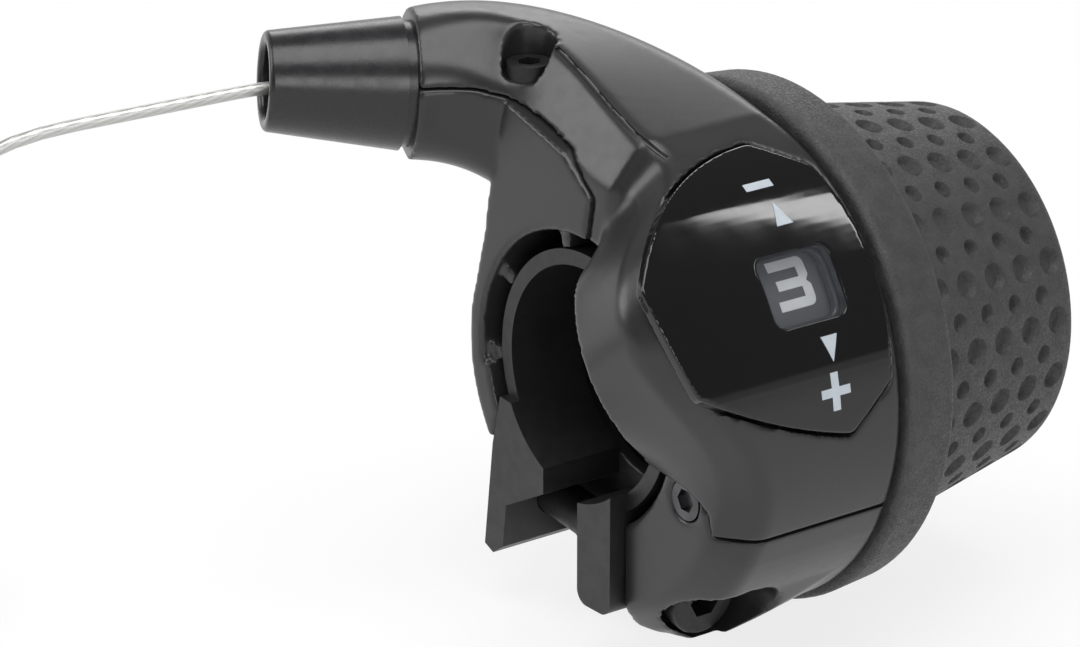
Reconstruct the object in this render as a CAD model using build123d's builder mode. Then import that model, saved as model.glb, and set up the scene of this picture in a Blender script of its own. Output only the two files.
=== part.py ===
from build123d import *
import math
import os

os.makedirs("parts", exist_ok=True)

# Twist grip shifter for the right end of a bicycle handlebar, in millimetres and degrees.
# X runs along the bar towards the grip's open end, Z is up and -Y faces the rider.
# The origin is on the bar's axis, at the inboard end of the clamp ring.
# Clock angles turn about the bar, from 0 at the top to 90 at the rider's side.

# Clearances
slip_gap = 0.05
seat_gap = 0.1
body_gap = 0.4

# Handlebar clamp
bar_d = 22.2
band_wall = 1.5
band_width = 8.0
mouth_front_y = -1.8
mouth_rear_y = 4.8
lug_thickness = 5.0
lug_drop = 9.8
lug_round = 1.4
lug_overhang = 2.0
lug_root = 3.0
leg_overhang = 1.0
leg_thickness = 2.8
leg_stand = 1.0
leg_drop = 5.2
leg_toe = 0.4
leg_root_h = 5.6
leg_inner_h = 0.2
leg_nick = 0.9
leg_start_angle = -113.0

# Clamp bolt, nearly crosswise under the bar
bolt_x = 4.8
bolt_below = 6.2
bolt_tilt = 7.0
bolt_r = 2.0
bolt_head_r = 3.5
bolt_head_h = 3.4
bolt_wall = 2.2
bolt_socket_af = 3.0
bolt_socket_depth = 2.2
bolt_tip = 1.6
bolt_edge = 0.4
nut_af = 6.2
nut_h = 2.8

# Housing, in two halves round the drum
shell_r = 24.6
shell_wall = 1.9
shell_end_x = 17.6
shell_lip = 1.0
web_wall = 1.6
web_bore_gap = 0.5
plate_x = -0.5
plate_angles = (98.0, 178.0)
front_from_angle = -10.0
front_to_angle = 172.0
face_x = -1.0
face_angles = (-87.0, -71.0)
face_points = ((14.1, 11.0), (13.6, 14.3))
band_room = 1.1
collar_room = 1.9
collar_wall = 2.0
collar_end_angle = -126.0
collar_step_angle = -99.0
collar_room_angle = 20.0
tab_angle = 6.0
tab_angles = (-12.0, -59.0, -95.0)
open_rear_y = 8.0
open_top = 9.0

# Swelling round the head of the clamp bolt, and the opening for its key
swell_reach = 12.6
swell_r = 3.5
swell_inset = 0.2
swell_edge_r = 21.3
swell_bevel = (2.5, 24.2)
swell_crest_x = 4.6
swell_flat_x = 5.4
swell_end_x = 17.0
swell_from_angle = 100.0
swell_sink = 0.2
belly_z = -22.0
belly_slope = 12.0
key_floor_width = 7.8
key_floor_height = 7.9
key_mouth_width = 10.2
key_mouth_height = 7.2
key_mouth_lift = 0.4
key_mouth_reach = 16.0

# Visor, a round turret turned towards the rider
visor_x = 4.5
visor_angle = 58.0
visor_r = 13.2
visor_wall = 1.8
inner_disc_step = 1.1

# Seam between hood and base, seen along the bar
seam_gap = 0.15
seam_rear_z = 25.2
seam_points = ((14.5, 25.2), (10.5, 24.6), (2.2, 22.2), (-2.3, 18.7), (-1.2, 13.0))
seam_front_points = ((-12.4, -2.6), (-16.9, -4.9), (-18.9, -6.4), (-19.4, -8.7))
seam_front_z = -8.6

# Indicator panel, laid out on the visor's own plane, and its window
panel_stand = 0.3
panel_thickness = 1.2
panel_gap = 0.15
panel_round = 1.2
panel_top = (7.3, 15.0)
panel_top_right = (11.8, 11.3)
panel_right_mid = (12.6, 1.0)
panel_low_right = (11.7, -9.4)
panel_bottom = (7.1, -12.9)
panel_bottom_mid = (-1.3, -10.5)
panel_low_left = (-9.8, -6.5)
panel_left_mid = (-11.6, -1.4)
panel_left = (-12.3, 4.0)
panel_upper_mid = (-7.0, 9.8)
window_x = 4.3
window_y = 0.7
window_width = 8.2
window_height = 6.8
window_round = 1.3
window_ledge = 0.4
lens_sink = 0.1

# Drum, number ring and clicks
drum_gap = 0.3
drum_hub_wall = 1.6
groove_offset = 2.6
groove_width = 2.2
disc_wall = 1.8
drum_flange_r = 17.5
detent_r = 18.5
click_angle = 22.5
clicks = 2
notch_r = 1.2
notch_depth = 0.8
detent_angle = -135.0
spring_thickness = 0.4
spring_width = 1.1
spring_nose_gap = 0.6
spring_rise_share = 1 / 3
spring_rise_angle = 7.0
spring_foot_angles = (30.0, 38.0)
spring_tail_angle = 16.0
number_ring_width = 10.0
number_ring_wall = 1.0
number_angle = 56.0
number_margin = 11.0
number_room_angle = 5.0
spline_count = 3
spline_width = 2.0
spline_h = 0.8

# Twist sleeve and rubber grip
sleeve_gap = 0.2
sleeve_wall = 1.2
shoulder_r = 18.6
flange_width = 5.75
flange_start_r = 25.4
flange_end_r = 24.9
flange_round = 0.8
flange_skin = 0.9
flange_core_r = 23.0
grip_start_r = 21.5
grip_end_r = 17.65
grip_length = 21.35
grip_end_round = 1.2
rubber_wall = 3.0
rubber_end_wall = 0.6
rubber_end_r = 13.2

# Dimples in the rubber
dimple_rows = 20
dimple_rings = 5
dimple_margin = 2.6
dimple_pitch = 4.0
dimple_depth = 0.55
dimple_draft = 0.35
dimple_sides = 8
large_dimple_r = 1.35
small_dimple_r = 0.9

# Cable, its socket and its way to the drum
cable_r = 0.6
wrap_gap = 0.3
wrap_angle = 33.0
nipple_r = 1.7
nipple_length = 4.5
cable_corner_z = 22.2
cable_bend_r = 8.0
liner_bore_r = 0.8
liner_r = 1.2
liner_tail = 1.0
wire_hole_gap = 0.3
nose_yaw = 64.0
nose_rise = 4.5
nose_reach = 17.8
nose_length = 13.6
nose_base_r = 6.3
nose_tip_r = 4.7
nose_round = 0.5
nose_bore_r = 3.45
nose_bore_depth = 9.5
nose_spigot_r = 4.4
nose_spigot = 3.0
nose_groove = 0.9
nose_groove_depth = 0.35

# Horn of the housing, from the visor's lower end over the top to the socket
# Visor sections: clock angle, place of the lip and of the wall along the bar
visor_sections = (
    (118.5, -0.5, -0.5),
    (99.0, -4.0, -0.7),
    (82.0, -7.4, -4.1),
    (58.0, -8.7, -8.7),
    (34.0, -7.4, -4.1),
)
visor_bevel = (2.6, 3.2)
visor_crease = 2.4
visor_corner = 0.6
visor_foot = 0.4
visor_depth = 1.0
# Neck sections: width, height, width and height of the bevel, rounding of crease, shoulder and foot
neck_start_angle = 13.0
neck_start_r = 19.4
neck_start_x = 8.4
neck_start_size = (18.0, 11.6, 3.0, 4.6, 2.4, 2.0, 0.6)
neck_root_place = (8.5, 4.0, 19.4)
neck_root_heading = 8.0
neck_root_size = (17.8, 16.4, 3.4, 6.0, 2.0, 4.5, 1.2)
neck_bend_place = (4.3, 16.0, 22.7)
neck_bend_heading = 40.0
neck_bend_size = (13.4, 16.0, 4.6, 5.6, 2.6, 4.6, 2.6)
neck_end_size = (13.6, 13.6, 4.2, 4.2, 5.6, 5.6, 5.6)

# Screws of the hood
cover_screw_r = 17.0
cover_screw_angle = 112.0
cover_head_r = 1.9
cover_head_h = 1.1
cover_head_sink = 0.15
cover_shank_r = 0.9
cover_shank = 7.0
cover_boss_r = 2.4
cover_boss_x = 3.2
cover_boss_length = 5.3
cover_key_af = 2.0
cover_key_depth = 0.7
neck_screw_x = 2.6
neck_screw_y = 11.8
neck_screw_seat_z = 26.0
neck_head_r = 2.1
neck_head_h = 1.5
neck_shank_r = 1.2
neck_shank = 8.0
neck_key_af = 2.0
neck_key_depth = 0.9

# Free cable: its way from the socket to the coil, and the coil
cord_lead = 6.5
cord_points = (
    (-23.5, 31.1, 23.3),
    (-42.0, 37.9, 21.1),
    (-47.6, 39.2, 12.0),
    (-48.6, 39.1, 0.6),
    (-49.4, 39.1, -10.4),
    (-53.2, 40.5, -17.0),
    (-59.7, 42.8, -18.3),
)
cord_arc_share = 0.45
coil_x = -56.0
coil_y = 53.0
coil_top_z = -19.0
coil_r = 10.8
coil_width = 7.6
coil_height = 6.4
coil_round = 2.4
tie_wall = 0.8
tie_width = 3.0
tie_angle = 140.0

# Worked-out sizes
far = 60.0
bore_r = bar_d / 2
band_r = bore_r + band_wall
bolt_z = -bore_r - bolt_below
leg_face = band_r + leg_stand
band_room_r = band_r + band_room
collar_r = band_r + collar_room
web_x = band_width
drum_room_x = web_x + web_wall
lip_x = shell_end_x - shell_lip
shell_inner_r = shell_r - shell_wall
lip_bore_r = shoulder_r + body_gap
sleeve_r = bore_r + sleeve_gap
hub_r = sleeve_r + sleeve_wall
drum_start_x = drum_room_x + drum_gap
drum_end_x = lip_x - body_gap
groove_x = drum_start_x + groove_offset
groove_r = hub_r + drum_hub_wall
wrap_r = groove_r + wrap_gap + cable_r
disc_x = drum_end_x - disc_wall
disc_r = shell_inner_r - body_gap
number_ring_x = disc_x - number_ring_width
number_ring_r = disc_r - number_ring_wall
panel_r = shell_r + panel_stand
panel_seat_r = panel_r - panel_thickness
travel = click_angle * clicks
flange_x = shell_end_x + body_gap
flange_end_x = flange_x + flange_width
grip_end_x = flange_end_x + grip_length
lug_y = mouth_front_y - lug_thickness
block_y = lug_y - seat_gap
visor_left_x = visor_x - visor_r
rear_from_angle = front_to_angle
rear_to_angle = 360.0 + front_from_angle
core_flange_x = flange_x + flange_skin
core_flange_end_x = flange_end_x - flange_skin
core_start_r = grip_start_r - rubber_wall
core_end_x = grip_end_x - rubber_end_wall
core_end_r = grip_end_r - rubber_wall
wire_hole_r = cable_r + wire_hole_gap
wrap_end_angle = -90.0 - wrap_angle
cover_seat_x = plate_x + cover_head_sink + cover_head_h
cover_tip_x = cover_seat_x + cover_shank
cover_boss_end_x = cover_boss_x + cover_boss_length
bolt_back = leg_face + nut_h + bolt_tip


def clock(radius, angle):
    """Point (y, z) on a circle about the bar."""
    turn = math.radians(angle)
    return (-radius * math.sin(turn), radius * math.cos(turn))


def radial_plane(angle):
    """Plane through the bar's axis at a clock angle, its own y pointing outwards."""
    turn = math.radians(angle)
    return Plane(origin=(0, 0, 0), x_dir=(1, 0, 0), z_dir=(0, -math.cos(turn), -math.sin(turn)))


def heading(angle):
    """Level direction, turned from +Y towards -X."""
    turn = math.radians(angle)
    return Vector(-math.sin(turn), math.cos(turn), 0)


def ring_sector(x_start, x_end, r_inner, r_outer, angle_start=0.0, angle_end=360.0):
    """Ring, or part of a ring, about the bar."""
    with BuildPart() as ring:
        with BuildSketch(radial_plane(angle_start)):
            with Locations(((x_start + x_end) / 2, (r_inner + r_outer) / 2)):
                Rectangle(x_end - x_start, r_outer - r_inner)
        revolve(axis=Axis.X, revolution_arc=angle_end - angle_start)
    return ring.part


def pin_along_x(x_start, x_end, radius, y, z):
    """Round bar parallel to the handlebar."""
    with BuildPart() as pin:
        with BuildSketch(Plane.YZ.offset(x_start)):
            with Locations((y, z)):
                Circle(radius)
        extrude(amount=x_end - x_start)
    return pin.part


def finish(builder, name):
    """Names a finished piece and writes it."""
    builder.part.label = name
    export_step(builder.part, f"parts/{name}.step")


# Directions and places that several pieces share
bolt_turn = math.radians(bolt_tilt)
bolt_plane = Plane(
    origin=(bolt_x, 0, bolt_z),
    x_dir=(1, 0, 0),
    z_dir=(0, -math.cos(bolt_turn), -math.sin(bolt_turn)),
)
block_face = -block_y / math.cos(bolt_turn)
bolt_seat = block_face + bolt_wall
visor_turn = math.radians(visor_angle)
visor_plane = Plane(
    origin=(visor_x, 0, 0),
    x_dir=(1, 0, 0),
    z_dir=(0, -math.sin(visor_turn), math.cos(visor_turn)),
)
yaw_turn = math.radians(nose_yaw)
rise_turn = math.radians(nose_rise)
nose_dir = Vector(
    -math.cos(rise_turn) * math.sin(yaw_turn),
    math.cos(rise_turn) * math.cos(yaw_turn),
    math.sin(rise_turn),
)
cable_corner = Vector(groove_x, wrap_r, cable_corner_z)
nose_base = cable_corner + nose_dir * nose_reach
nose_tip = nose_base + nose_dir * nose_length
nose_plane = Plane(origin=nose_base, x_dir=Vector(0, 0, 1).cross(nose_dir), z_dir=nose_dir)
nose_side = Plane(origin=nose_base, x_dir=nose_dir, z_dir=Vector(0, 0, 1).cross(nose_dir))
socket_floor = nose_tip - nose_dir * nose_bore_depth
cable_tangent = Vector(groove_x, wrap_r, body_gap)
cable_turn = nose_dir.get_angle(Vector(0, 0, 1))
cable_bend_run = cable_bend_r * math.tan(math.radians(cable_turn / 2))
liner_start = nose_base - nose_dir * (nose_spigot + seat_gap)
liner_end = cable_corner - Vector(0, 0, cable_bend_run + liner_tail)
cover_screw_y, cover_screw_z = clock(cover_screw_r, cover_screw_angle)


def bolt_point(along, above):
    """Point (y, z) placed along the bolt towards the rider and above its axis."""
    y = -along * math.cos(bolt_turn) - above * math.sin(bolt_turn)
    z = bolt_z - along * math.sin(bolt_turn) + above * math.cos(bolt_turn)
    return (y, z)


def horn_section(plane, foot_in, wall_in, outboard, bottom, top, bevel, crease, shoulder, foot):
    """Section of the horn, its own x pointing inboard, bevelled on the upper inboard edge."""
    with BuildSketch(plane) as section:
        with BuildLine():
            Polyline(
                (foot_in, bottom),
                (wall_in, top - bevel[1]),
                (wall_in - bevel[0], top),
                (outboard, top),
                (outboard, bottom),
                close=True,
            )
        make_face()
        feet = section.vertices().group_by(Axis.Y)[0]
        fillet(feet, foot)
        corner = section.vertices().sort_by_distance((outboard, top))[0]
        fillet(corner, shoulder)
        creases = section.vertices().sort_by_distance((wall_in, top - bevel[1]))[:1]
        creases += section.vertices().sort_by_distance((wall_in - bevel[0], top))[:1]
        fillet(creases, crease)
    return section.sketch


def visor_section(angle, lip_x, wall_x):
    """Section of the visor in a plane through the bar's axis."""
    turn = math.radians(angle)
    plane = Plane(origin=(0, 0, 0), x_dir=(-1, 0, 0), z_dir=(0, math.cos(turn), math.sin(turn)))
    return horn_section(
        plane, -lip_x, -wall_x, -shell_end_x, band_room_r - visor_depth, shell_r,
        visor_bevel, visor_crease, visor_corner, visor_foot,
    )


def neck_section(place, normal, width, height, bevel_width, bevel_height, crease, shoulder, foot):
    """Section of the neck across the way of the cable."""
    plane = Plane(origin=place, x_dir=Vector(0, 0, 1).cross(normal), z_dir=normal)
    return horn_section(
        plane, width / 2, width / 2, -width / 2, -height / 2, height / 2,
        (bevel_width, bevel_height), crease, shoulder, foot,
    )


def cable_path(start, end):
    """Way of the cable through the neck, turned down towards the drum."""
    with BuildLine() as path:
        FilletPolyline(start, cable_corner, end, radius=cable_bend_r)
    return path.line


def round_along(path, radius):
    """Round bar swept along a path."""
    with BuildPart() as bar:
        with BuildSketch(Plane(origin=path @ 0, z_dir=path % 0)):
            Circle(radius)
        sweep(path=path)
    return bar.part


def leg_outline(grow=0.0):
    """Outline of the clamp band's rear leg, seen along the bar."""
    with BuildSketch(Plane.YZ.offset(-leg_overhang)) as outline:
        with BuildLine():
            Polyline(
                clock(band_r, leg_start_angle),
                bolt_point(-leg_face, leg_root_h),
                bolt_point(-leg_face, -leg_drop),
                bolt_point(leg_thickness / 2 - leg_face, -leg_drop - leg_toe),
                bolt_point(leg_thickness - leg_face, leg_nick - leg_drop),
                bolt_point(leg_thickness - leg_face, leg_inner_h),
                (mouth_rear_y, -band_r),
                (mouth_rear_y, -bore_r / 2),
                close=True,
            )
        make_face()
        if grow > 0:
            offset(amount=grow, kind=Kind.INTERSECTION)
        Circle(bore_r, mode=Mode.SUBTRACT)
    return outline.sketch


def panel_outline(grow=0.0):
    """Outline of the indicator panel on the visor's plane."""
    with BuildSketch(visor_plane) as outline:
        with BuildLine():
            Line(panel_top, panel_top_right)
            ThreePointArc(panel_top_right, panel_right_mid, panel_low_right)
            Line(panel_low_right, panel_bottom)
            ThreePointArc(panel_bottom, panel_bottom_mid, panel_low_left)
            ThreePointArc(panel_low_left, panel_left_mid, panel_left)
            ThreePointArc(panel_left, panel_upper_mid, panel_top)
        make_face()
        fillet(outline.vertices(), panel_round)
        if grow > 0:
            offset(amount=grow)
    return outline.sketch


def window_outline(shrink=0.0):
    """Outline of the window on the visor's plane."""
    with BuildSketch(visor_plane) as outline:
        with Locations((window_x, window_y)):
            RectangleRounded(window_width - 2 * shrink, window_height - 2 * shrink, window_round - shrink)
    return outline.sketch


def curved_slab(outline, r_inner, r_outer):
    """Slab between two radii about the bar, cut to an outline on the visor's plane."""
    with BuildPart() as slab:
        extrude(outline, amount=far)
        add(ring_sector(-far, far, r_inner, r_outer), mode=Mode.INTERSECT)
    return slab.part


# Horn: the visor and the neck flow into each other
start_turn = math.radians(neck_start_angle)
visor_faces = [visor_section(*section) for section in visor_sections]
neck_faces = [
    neck_section(
        (neck_start_x, *clock(neck_start_r, neck_start_angle)),
        Vector(0, math.cos(start_turn), math.sin(start_turn)),
        *neck_start_size,
    ),
    neck_section(neck_root_place, heading(neck_root_heading), *neck_root_size),
    neck_section(neck_bend_place, heading(neck_bend_heading), *neck_bend_size),
    neck_section(nose_base, nose_dir, *neck_end_size),
]
with BuildPart() as visor:
    loft(visor_faces + neck_faces[:1])
with BuildPart() as neck:
    loft(neck_faces)

# Lower front of the body, carried on from the visor's last section
with BuildPart() as front:
    revolve(visor_faces[0], axis=Axis.X, revolution_arc=front_to_angle - visor_sections[0][0])

with BuildPart() as visor_room:
    with BuildSketch(visor_plane):
        Circle(visor_r - visor_wall)
    extrude(amount=far)
    add(ring_sector(visor_left_x, drum_room_x, 0, shell_inner_r - visor_wall), mode=Mode.INTERSECT)

# Swelling round the head of the clamp bolt, drawn tangent to the shell and faded out along the bar
swell_place = bolt_point(swell_reach, 0)
swell_top_r = math.hypot(*swell_place) + swell_r
swell_low_r = shell_r - swell_sink
swell_root_r = shell_inner_r - shell_wall
with BuildPart() as swelling:
    with BuildSketch(Plane.YZ.offset(plate_x)):
        Circle(swell_low_r)
        with Locations(swell_place):
            Circle(swell_r)
        make_hull()
    extrude(amount=swell_end_x - plate_x)
    with BuildSketch(radial_plane(swell_from_angle)):
        with BuildLine():
            Polyline(
                (swell_end_x, swell_low_r),
                (swell_end_x, swell_root_r),
                (plate_x + swell_inset, swell_root_r),
                (plate_x + swell_inset, swell_edge_r),
                swell_bevel,
            )
            Spline(swell_bevel, (swell_crest_x, swell_top_r), tangents=((1, 1), (1, 0)))
            Line((swell_crest_x, swell_top_r), (swell_flat_x, swell_top_r))
            Line((swell_flat_x, swell_top_r), (swell_end_x, swell_low_r))
        make_face()
    revolve(axis=Axis.X, revolution_arc=front_to_angle - swell_from_angle, mode=Mode.INTERSECT)

# Opening that lets a key reach the bolt, wider at its mouth
with BuildPart() as key_hole:
    with BuildSketch(bolt_plane.offset(bolt_seat)):
        Ellipse(key_floor_width / 2, key_floor_height / 2)
    with BuildSketch(bolt_plane.offset(key_mouth_reach)):
        with Locations((0, key_mouth_lift)):
            Ellipse(key_mouth_width / 2, key_mouth_height / 2)
    loft()
    with BuildSketch(bolt_plane.offset(key_mouth_reach)):
        with Locations((0, key_mouth_lift)):
            Ellipse(key_mouth_width / 2, key_mouth_height / 2)
    extrude(amount=far)

# Whole moulded housing, before it is parted into base and hood
with BuildPart() as housing:
    add(neck.part)
    # Flat inboard face that joins the rear wall to the neck
    with BuildSketch(Plane.YZ.offset(face_x)):
        with BuildLine():
            Polyline(
                clock(collar_r, face_angles[0]),
                clock(collar_r + collar_wall, face_angles[1]),
                *face_points,
                *seam_points[1:],
                close=True,
            )
        make_face()
    extrude(amount=web_x - face_x)
    add(visor.part)
    add(front.part)
    add(swelling.part)
    add(ring_sector(web_x, shell_end_x, 0, shell_r - inner_disc_step))
    add(ring_sector(web_x, shell_end_x, 0, shell_r, rear_from_angle, rear_to_angle))
    # Rear wall round the clamp, with its thicker lower end
    add(ring_sector(face_x, web_x, collar_r, collar_r + collar_wall, collar_end_angle, front_from_angle))
    add(ring_sector(face_x, web_x, band_room_r, collar_r, collar_end_angle, collar_step_angle))
    # Room for the drum, the clamp band, the lugs and the numbers
    add(ring_sector(drum_room_x, lip_x, 0, shell_inner_r), mode=Mode.SUBTRACT)
    add(ring_sector(lip_x, far, 0, lip_bore_r), mode=Mode.SUBTRACT)
    add(ring_sector(-far, far, 0, bore_r + web_bore_gap), mode=Mode.SUBTRACT)
    add(ring_sector(-far, web_x, 0, band_room_r), mode=Mode.SUBTRACT)
    add(ring_sector(-far, web_x, 0, collar_r, collar_step_angle, collar_room_angle), mode=Mode.SUBTRACT)
    add(visor_room.part, mode=Mode.SUBTRACT)
    add(
        ring_sector(
            number_ring_x - body_gap,
            drum_room_x,
            number_ring_r - body_gap,
            shell_inner_r,
            number_angle - number_margin - travel - number_room_angle,
            number_angle + number_margin + travel + number_room_angle,
        ),
        mode=Mode.SUBTRACT,
    )
    with BuildSketch(Plane.YZ.offset(-far)):
        with BuildLine():
            Polyline(
                (block_y, -open_top),
                (block_y, -far),
                (open_rear_y, -far),
                (open_rear_y, -open_top),
                close=True,
            )
        make_face()
    extrude(amount=web_x + far, mode=Mode.SUBTRACT)
    extrude(leg_outline(seat_gap), amount=leg_overhang + web_x, mode=Mode.SUBTRACT)
    # Flat belly below the plate
    with BuildSketch(Plane.XZ):
        with BuildLine():
            Polyline(
                (-far, belly_z),
                (plate_x, belly_z),
                (web_x, belly_z - (web_x - plate_x) * math.tan(math.radians(belly_slope))),
                (web_x, -far),
                (-far, -far),
                close=True,
            )
        make_face()
    extrude(amount=far, both=True, mode=Mode.SUBTRACT)
    # Ribs that hold the clamp band
    for angle in tab_angles:
        rib_start = angle - tab_angle / 2
        add(ring_sector(0, web_x, band_r + slip_gap, collar_r + slip_gap, rib_start, rib_start + tab_angle))
    # Ways of the cable and of the clamp bolt
    add(round_along(cable_path(nose_base, cable_tangent), liner_r + seat_gap), mode=Mode.SUBTRACT)
    with BuildSketch(nose_plane.offset(-nose_spigot)):
        Circle(nose_spigot_r + slip_gap)
    extrude(amount=far, mode=Mode.SUBTRACT)
    with BuildSketch(bolt_plane):
        Circle(bolt_r + seat_gap)
    extrude(amount=far, mode=Mode.SUBTRACT)
    add(key_hole.part, mode=Mode.SUBTRACT)
    # Recess and hole of the neck screw, and the recess in the plate for the cover screw
    with BuildSketch(Plane.XY.offset(neck_screw_seat_z)):
        with Locations((neck_screw_x, neck_screw_y)):
            Circle(neck_head_r + body_gap)
    extrude(amount=far, mode=Mode.SUBTRACT)
    with BuildSketch(Plane.XY.offset(neck_screw_seat_z)):
        with Locations((neck_screw_x, neck_screw_y)):
            Circle(neck_shank_r + slip_gap)
    extrude(amount=-neck_shank - seat_gap, mode=Mode.SUBTRACT)
    add(
        pin_along_x(-far, cover_seat_x, cover_head_r + seat_gap, cover_screw_y, cover_screw_z),
        mode=Mode.SUBTRACT,
    )
    add(
        pin_along_x(-far, cover_tip_x + seat_gap, cover_shank_r + slip_gap, cover_screw_y, cover_screw_z),
        mode=Mode.SUBTRACT,
    )

# Space that belongs to the hood: above the neck's seam, before the lower seam, and its screw boss
with BuildPart() as hood_space:
    with BuildSketch(Plane.YZ.offset(-far)):
        with BuildLine():
            Polyline(
                (far, seam_rear_z),
                *seam_points,
                (0, 0),
                *seam_front_points,
                (-far, seam_front_z),
                (-far, far),
                (far, far),
                close=True,
            )
        make_face()
    extrude(amount=2 * far)
    add(pin_along_x(cover_boss_x, cover_boss_end_x, cover_boss_r, cover_screw_y, cover_screw_z))

with BuildPart() as base_housing:
    add(housing.part)
    add(hood_space.part, mode=Mode.SUBTRACT)
    with Locations((0, 0, -seam_gap)):
        add(hood_space.part, mode=Mode.SUBTRACT)
    add(ring_sector(-far, plate_x - slip_gap, 0, far, *plate_angles), mode=Mode.SUBTRACT)
finish(base_housing, "base_housing")

with BuildPart() as hood_cover:
    add(housing.part)
    add(hood_space.part, mode=Mode.INTERSECT)
    # Seat of the panel and the opening behind its window
    add(curved_slab(panel_outline(panel_gap), panel_seat_r, far), mode=Mode.SUBTRACT)
    extrude(window_outline(window_ledge), amount=far, mode=Mode.SUBTRACT)
finish(hood_cover, "hood_cover")

with BuildPart() as indicator_panel:
    add(curved_slab(panel_outline(), panel_seat_r, panel_r))
    extrude(window_outline(), amount=far, mode=Mode.SUBTRACT)
finish(indicator_panel, "indicator_panel")

with BuildPart() as number_window:
    add(curved_slab(window_outline(slip_gap), panel_seat_r, panel_r - lens_sink))
finish(number_window, "number_window")

# Clamp band: a split ring with a leg behind and a lug in front
with BuildPart() as clamp_band:
    with BuildSketch(Plane.YZ):
        Circle(band_r)
        Circle(bore_r, mode=Mode.SUBTRACT)
        with Locations(((mouth_front_y + mouth_rear_y) / 2, -band_r)):
            Rectangle(mouth_rear_y - mouth_front_y, band_r, mode=Mode.SUBTRACT)
    extrude(amount=band_width)
    extrude(leg_outline(), amount=leg_overhang + band_width)
    with BuildSketch(Plane.YZ.offset(-lug_overhang)) as lug:
        with Locations((mouth_front_y - lug_thickness / 2, -bore_r + (lug_root - lug_drop) / 2)):
            Rectangle(lug_thickness, lug_root + lug_drop)
        fillet(lug.vertices().group_by(Axis.Y)[0], lug_round)
        Circle(bore_r, mode=Mode.SUBTRACT)
    extrude(amount=lug_overhang + band_width)
    with BuildSketch(bolt_plane):
        Circle(bolt_r + seat_gap)
    extrude(amount=far, both=True, mode=Mode.SUBTRACT)
finish(clamp_band, "clamp_band")

with BuildPart() as clamp_bolt:
    with BuildSketch(bolt_plane.offset(-bolt_back)):
        Circle(bolt_r)
    extrude(amount=bolt_back + bolt_seat)
    chamfer(clamp_bolt.edges().sort_by(Axis.Y)[-1], bolt_edge)
    with BuildSketch(bolt_plane.offset(bolt_seat)):
        Circle(bolt_head_r)
    extrude(amount=bolt_head_h)
    fillet(clamp_bolt.edges().sort_by(Axis.Y)[0], bolt_edge)
    with BuildSketch(bolt_plane.offset(bolt_seat + bolt_head_h)):
        RegularPolygon(bolt_socket_af / 2, 6, major_radius=False)
    extrude(amount=-bolt_socket_depth, mode=Mode.SUBTRACT)
finish(clamp_bolt, "clamp_bolt")

with BuildPart() as clamp_nut:
    with BuildSketch(bolt_plane.offset(-leg_face - nut_h)):
        Rectangle(nut_af, nut_af)
        Circle(bolt_r + slip_gap, mode=Mode.SUBTRACT)
    extrude(amount=nut_h)
finish(clamp_nut, "clamp_nut")

# Screws of the hood, each with a hexagon socket
with BuildPart() as cover_screw:
    add(pin_along_x(cover_seat_x - cover_head_h, cover_seat_x, cover_head_r, cover_screw_y, cover_screw_z))
    add(pin_along_x(cover_seat_x, cover_tip_x, cover_shank_r, cover_screw_y, cover_screw_z))
    with BuildSketch(Plane.YZ.offset(cover_seat_x - cover_head_h)):
        with Locations((cover_screw_y, cover_screw_z)):
            RegularPolygon(cover_key_af / 2, 6, major_radius=False)
    extrude(amount=cover_key_depth, mode=Mode.SUBTRACT)
finish(cover_screw, "cover_screw")

with BuildPart() as neck_screw:
    with BuildSketch(Plane.XY.offset(neck_screw_seat_z)):
        with Locations((neck_screw_x, neck_screw_y)):
            Circle(neck_head_r)
    extrude(amount=neck_head_h)
    with BuildSketch(Plane.XY.offset(neck_screw_seat_z)):
        with Locations((neck_screw_x, neck_screw_y)):
            Circle(neck_shank_r)
    extrude(amount=-neck_shank)
    with BuildSketch(Plane.XY.offset(neck_screw_seat_z + neck_head_h)):
        with Locations((neck_screw_x, neck_screw_y)):
            RegularPolygon(neck_key_af / 2, 6, major_radius=False)
    extrude(amount=-neck_key_depth, mode=Mode.SUBTRACT)
finish(neck_screw, "neck_screw")

# Casing socket, with its spigot in the neck
with BuildPart() as cable_nose:
    with BuildSketch(nose_side) as nose_profile:
        with BuildLine():
            Polyline(
                (nose_length - nose_bore_depth, wire_hole_r),
                (-nose_spigot, wire_hole_r),
                (-nose_spigot, nose_spigot_r),
                (0, nose_spigot_r),
                (0, nose_base_r - nose_groove_depth),
                (nose_groove, nose_base_r - nose_groove_depth),
                (nose_groove, nose_base_r),
                (nose_length, nose_tip_r),
                (nose_length, nose_bore_r),
                (nose_length - nose_bore_depth, nose_bore_r),
                close=True,
            )
        make_face()
        fillet(nose_profile.vertices().group_by(Axis.X)[-1], nose_round)
    revolve(axis=Axis(nose_base, nose_dir))
finish(cable_nose, "cable_nose")

with BuildPart() as cable_liner:
    add(round_along(cable_path(liner_start, liner_end), liner_r))
    add(round_along(cable_path(liner_start, liner_end), liner_bore_r), mode=Mode.SUBTRACT)
finish(cable_liner, "cable_liner")

with BuildPart() as inner_cable:
    add(round_along(cable_path(socket_floor, cable_tangent), cable_r))
finish(inner_cable, "inner_cable")

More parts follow.
